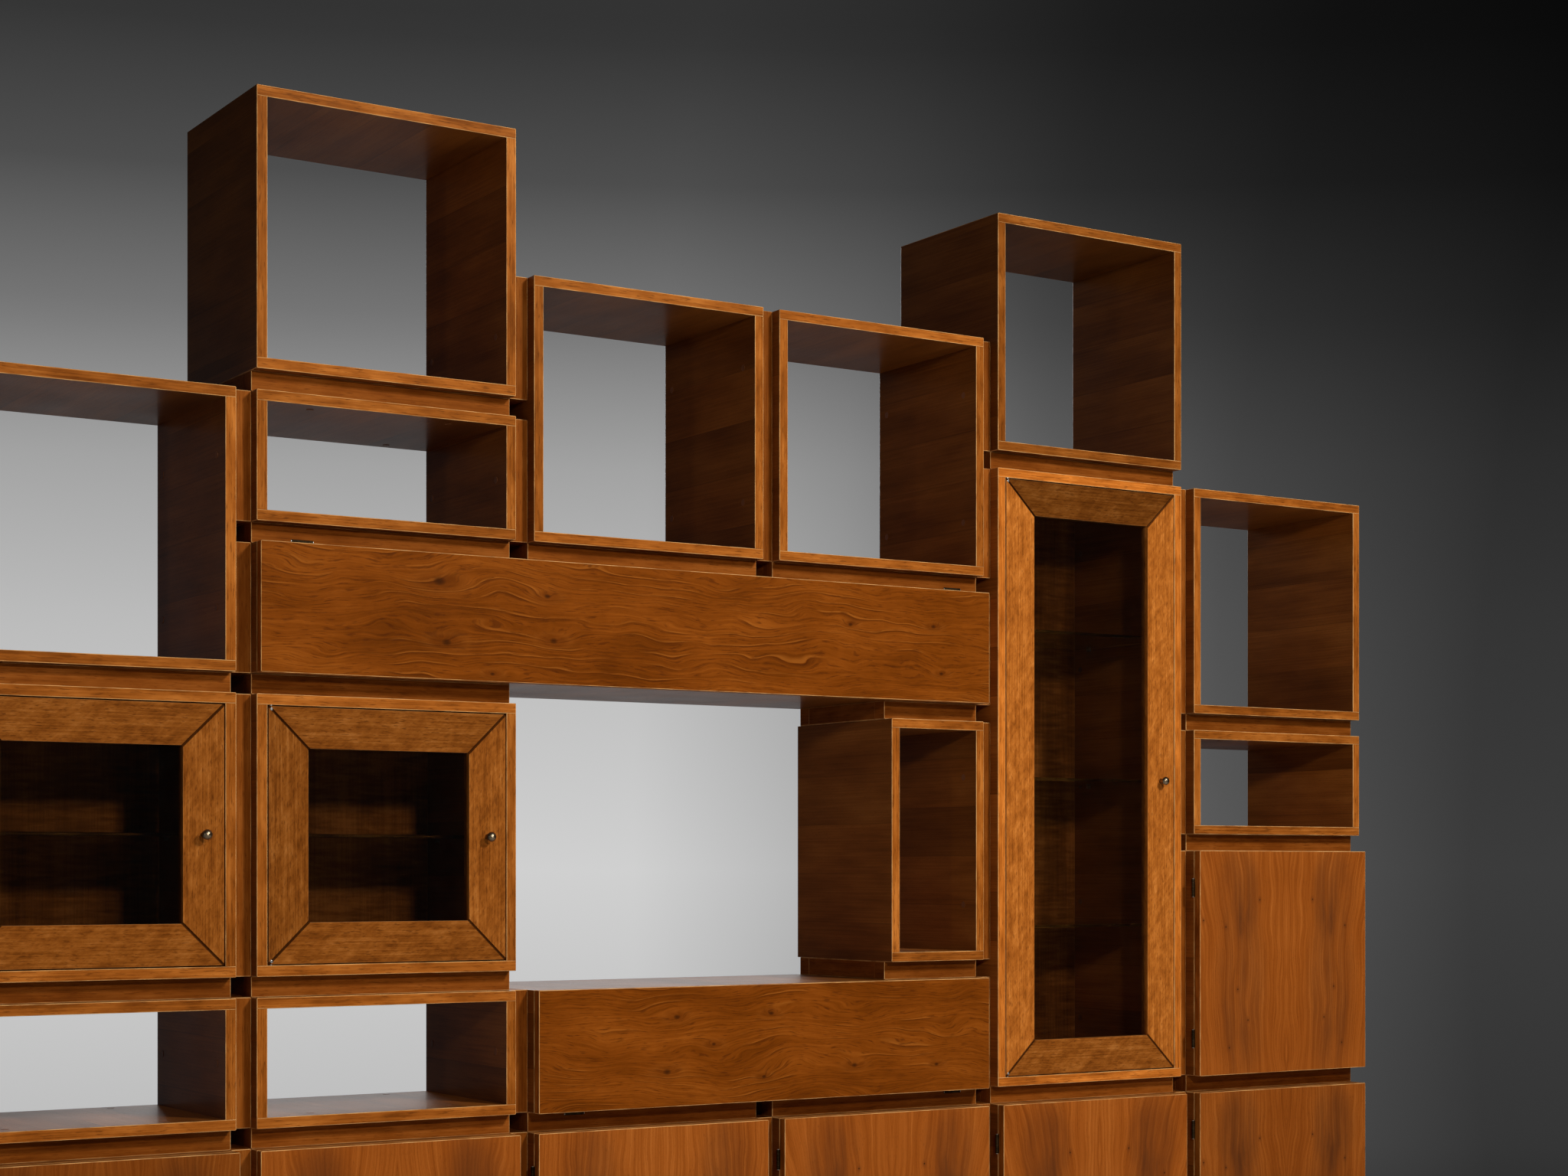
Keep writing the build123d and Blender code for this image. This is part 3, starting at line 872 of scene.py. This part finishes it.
def mitred_member(wood, low, high, side, seed, tone):
    """One frame member with mitred ends; side is (axis it lies along, which end)."""
    along, end = side
    other = 2 if along == 0 else 0
    outer = high[other] if end else low[other]
    inner = outer - MEMBER if end else outer + MEMBER
    mesh = bmesh.new()
    rows = []
    for y in (low[1], high[1]):
        points = [
            (low[along], outer),
            (high[along], outer),
            (high[along] - MEMBER, inner),
            (low[along] + MEMBER, inner),
        ]
        row = []
        for place, edge in points:
            point = [0.0, y, 0.0]
            point[along], point[other] = place, edge
            row.append(mesh.verts.new(point))
        rows.append(row)
    mesh.faces.new(rows[0])
    mesh.faces.new(rows[1])
    for number in range(4):
        after = (number + 1) % 4
        mesh.faces.new((rows[0][number], rows[0][after], rows[1][after], rows[1][number]))
    bmesh.ops.recalc_face_normals(mesh, faces=mesh.faces)
    mesh.edges.index_update()

    def in_one_plane(run):
        return abs(run.y) < SNUG

    def diagonal(run):
        return abs(abs(run.x) - abs(run.z)) < SNUG

    def chosen(test):
        return [edge for edge in mesh.edges if test(edge.verts[1].co - edge.verts[0].co)]

    mitres = chosen(lambda run: in_one_plane(run) and diagonal(run))
    bmesh.ops.bevel(mesh, geom=mitres, offset=MITRE_GROOVE, segments=1, affect="EDGES")
    lengthwise = chosen(
        lambda run: in_one_plane(run) and not diagonal(run) and run.length > 4 * ARRIS
    )
    bmesh.ops.bevel(
        mesh, geom=lengthwise, offset=SOFT_ARRIS, segments=2, profile=0.5, affect="EDGES"
    )
    wood.add(mesh, low, high, seed, along, tone=tone)


def make_glazed_door(name, seed):
    """Four mitred members round a pane, with the pivots' screws in front."""
    node = name + "_frame"
    low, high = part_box(node)
    wood = Wood()
    left, right, bottom, top = (2, 0), (2, 1), (0, 0), (0, 1)
    for number, side in enumerate((left, right, bottom, top)):
        mitred_member(wood, low, high, side, seed + 1.9 * number, MEMBER_TONES[name][number])
    piece = wood.build(name + "_members", FRAME_WOOD)
    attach(piece, name)
    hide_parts(node)
    make_pane(name)
    make_pivot_screws(name)


def make_pivot_screws(name):
    """Small turned heads over the pivots, at the two hinge-side corners of the front."""
    low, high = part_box(name + "_frame")
    mesh = bmesh.new()
    for height in (low.z + PIVOT_SCREW_INSET, high.z - PIVOT_SCREW_INSET):
        rings = []
        for radius, proud in PIVOT_SCREW_PROFILE:
            ring = []
            for step in range(PIVOT_SCREW_STEPS if radius else 1):
                turn = 2 * math.pi * step / PIVOT_SCREW_STEPS
                x = low.x + PIVOT_SCREW_INSET + radius * MM * math.cos(turn)
                z = height + radius * MM * math.sin(turn)
                ring.append(mesh.verts.new((x, low.y - proud * MM, z)))
            rings.append(ring)
        for inner, outer in zip(rings, rings[1:]):
            for step in range(PIVOT_SCREW_STEPS):
                after = (step + 1) % PIVOT_SCREW_STEPS
                if len(inner) == 1:
                    mesh.faces.new((inner[0], outer[step], outer[after]))
                else:
                    mesh.faces.new((inner[step], outer[step], outer[after], inner[after]))
    bmesh.ops.recalc_face_normals(mesh, faces=mesh.faces)
    piece = finished_piece(mesh, name + "_pivot_screws", STEEL)
    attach(piece, name)


def make_pane(name):
    node = name + "_glass"
    low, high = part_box(node)
    mesh = bmesh.new()
    vertices = corner_box(mesh, low, high)
    mesh.edges.index_update()
    edges = edges_along(vertices, all_edges)
    bmesh.ops.bevel(mesh, geom=edges, offset=GLASS_ARRIS, segments=1, affect="EDGES")
    piece = finished_piece(mesh, name + "_pane", PANE)
    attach(piece, name)
    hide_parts(node)


# ---- CAD nodes that stay ----
def dress(node, material, other=None, belongs=None):
    """Gives a kept CAD node its material, and a second one to the faces that belong."""
    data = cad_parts[node].data
    data.materials.clear()
    data.materials.append(material)
    if other:
        data.materials.append(other)
    for polygon in data.polygons:
        polygon.material_index = 1 if other and belongs(polygon.center) else 0


def dress_kept_nodes():
    """Materials for the metalwork, the caps, the catches and the glass shelves."""
    dress("hinge_leaves", BRASS)
    dress("hinge_pins", STEEL)
    dress("connector_bolts", CAP)
    dress("shelf_pins", STEEL)
    dress("magnet_catches", CATCH)
    dress("glass_shelves", SHELF)
    for name in DOORS + FLAPS:
        dress(name + "_fittings", BRASS)
    for name in GLAZED:
        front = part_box(name + "_frame")[0].y
        dress(name + "_fittings", STEEL, BRONZE, lambda centre: centre.y < front + SNUG)


# ======================================================================================
# Build
# ======================================================================================
for number, name in enumerate(BOXES):
    make_box(name, 1.0 + 2.3 * number)
make_spacers()
make_plinth()
make_back_panels()
for number, name in enumerate(DOORS):
    make_slab(name, 3.0 + 1.1 * number, DOOR, 2)
for number, name in enumerate(FLAPS):
    make_slab(name, 11.0 + number, FLAP_WOOD[name], 0)
for number, name in enumerate(GLAZED):
    make_glazed_door(name, 60.0 + 9.1 * number)
dress_kept_nodes()


# ======================================================================================
# Floor, light and camera
# ======================================================================================
FLOOR_RADIUS = 4.0
FLOOR_MIDDLE = (-0.3, -0.7, 0.0)


def make_floor():
    """Pale matt floor that ends below the bottom edge of the main view."""
    bpy.ops.mesh.primitive_circle_add(
        vertices=128, radius=FLOOR_RADIUS, fill_type="NGON", location=FLOOR_MIDDLE
    )
    floor = bpy.context.object
    floor.name = "floor"
    n = Nodes("floor_matt")
    place = n.node("ShaderNodeTexCoord").outputs["Object"]
    mottle = n.noise(place, scale=1.6, detail=4.0)
    n.set(Base_Color=n.mix(mottle, (0.60, 0.60, 0.60), (0.70, 0.70, 0.70)), Roughness=0.75)
    floor.data.materials.append(n.material)


# Brightness against each part of the viewing direction; the three are multiplied.
WORLD_LEVELS = {
    "X": (
        (-0.6, 0.04),
        (-0.1, 0.25),
        (0.2, 1.0),
        (0.47, 1.0),
        (0.53, 0.72),
        (0.59, 0.33),
        (0.65, 0.16),
        (0.72, 0.07),
    ),
    "Y": ((-0.3, 0.03), (0.1, 0.10), (0.5, 1.0)),
    "Z": (
        (-0.30, 0.02),
        (-0.18, 0.06),
        (-0.10, 0.50),
        (0.0, 0.63),
        (0.09, 0.50),
        (0.15, 0.36),
        (0.20, 0.18),
        (0.25, 0.075),
        (0.30, 0.034),
        (0.6, 0.012),
    ),
}


def make_world():
    """Grey backdrop: a pale pool near the horizon behind the unit, dark everywhere else."""
    world = bpy.data.worlds.new("studio")
    bpy.context.scene.world = world
    world.use_nodes = True
    tree = world.node_tree
    place = tree.nodes.new("ShaderNodeTexCoord")
    split = tree.nodes.new("ShaderNodeSeparateXYZ")
    tree.links.new(place.outputs["Generated"], split.inputs[0])
    level = None
    for axis, stops in WORLD_LEVELS.items():
        spread = tree.nodes.new("ShaderNodeMapRange")
        spread.inputs["From Min"].default_value = -1.0
        tree.links.new(split.outputs[axis], spread.inputs["Value"])
        ramp = tree.nodes.new("ShaderNodeValToRGB")
        tree.links.new(spread.outputs["Result"], ramp.inputs[0])
        elements = ramp.color_ramp.elements
        while len(elements) < len(stops):
            elements.new(0.5)
        for element, (cosine, grey) in zip(elements, stops):
            element.position = (cosine + 1) / 2
            element.color = (grey, grey, grey, 1.0)
        if level is None:
            level = ramp.outputs[0]
        else:
            product = tree.nodes.new("ShaderNodeMath")
            product.operation = "MULTIPLY"
            tree.links.new(level, product.inputs[0])
            tree.links.new(ramp.outputs[0], product.inputs[1])
            level = product.outputs[0]
    tree.links.new(level, tree.nodes["Background"].inputs["Color"])


WHITE, WARM = (1.0, 1.0, 1.0), (1.0, 0.93, 0.82)
# Place, aim, width and height in metres, watts and colour of each area light.
LIGHTS = {
    "key": ((1.4, -4.5, 4.0), (0.25, -0.2, 1.2), (0.8, 0.8), 218, WHITE),
    "left_front": ((-1.12, -4.5, 2.35), (-0.2, 0.0, 1.2), (0.3, 0.3), 56, WARM),
    "left_strip": ((-5.4, -2.8, 1.5), (-0.4, 0.0, 1.2), (0.25, 2.6), 9, WHITE),
    "rear": ((1.5, 4.2, 3.0), (0.0, 0.2, 1.2), (3.0, 1.4), 60, WHITE),
}


def area_light(name, place, aim, size, power, colour):
    data = bpy.data.lights.new(name, "AREA")
    data.shape = "RECTANGLE"
    data.size, data.size_y = size
    data.energy = power
    data.color = colour
    light = bpy.data.objects.new(name, data)
    bpy.context.collection.objects.link(light)
    light.location = place
    light.rotation_euler = (Vector(aim) - Vector(place)).to_track_quat("-Z", "Y").to_euler()


# Fitted to the photo: a level camera whose lens is shifted up and sideways.
CAMERA_PLACE = (-2.4808, -4.3045, 0.984)
CAMERA_TURN = -34.36
SENSOR_WIDTH = 36.0
FOCAL_LENGTH = 60.56
LENS_SHIFT = (-0.0928, 0.180)


def make_camera():
    data = bpy.data.cameras.new("camera")
    data.sensor_width = SENSOR_WIDTH
    data.lens = FOCAL_LENGTH
    data.shift_x, data.shift_y = LENS_SHIFT
    camera = bpy.data.objects.new("camera", data)
    bpy.context.collection.objects.link(camera)
    camera.location = CAMERA_PLACE
    camera.rotation_euler = (math.radians(90.0), 0.0, math.radians(CAMERA_TURN))
    bpy.context.scene.camera = camera


make_floor()
make_world()
for name, settings in LIGHTS.items():
    area_light(name, *settings)
make_camera()
bpy.context.scene.view_settings.view_transform = "Standard"
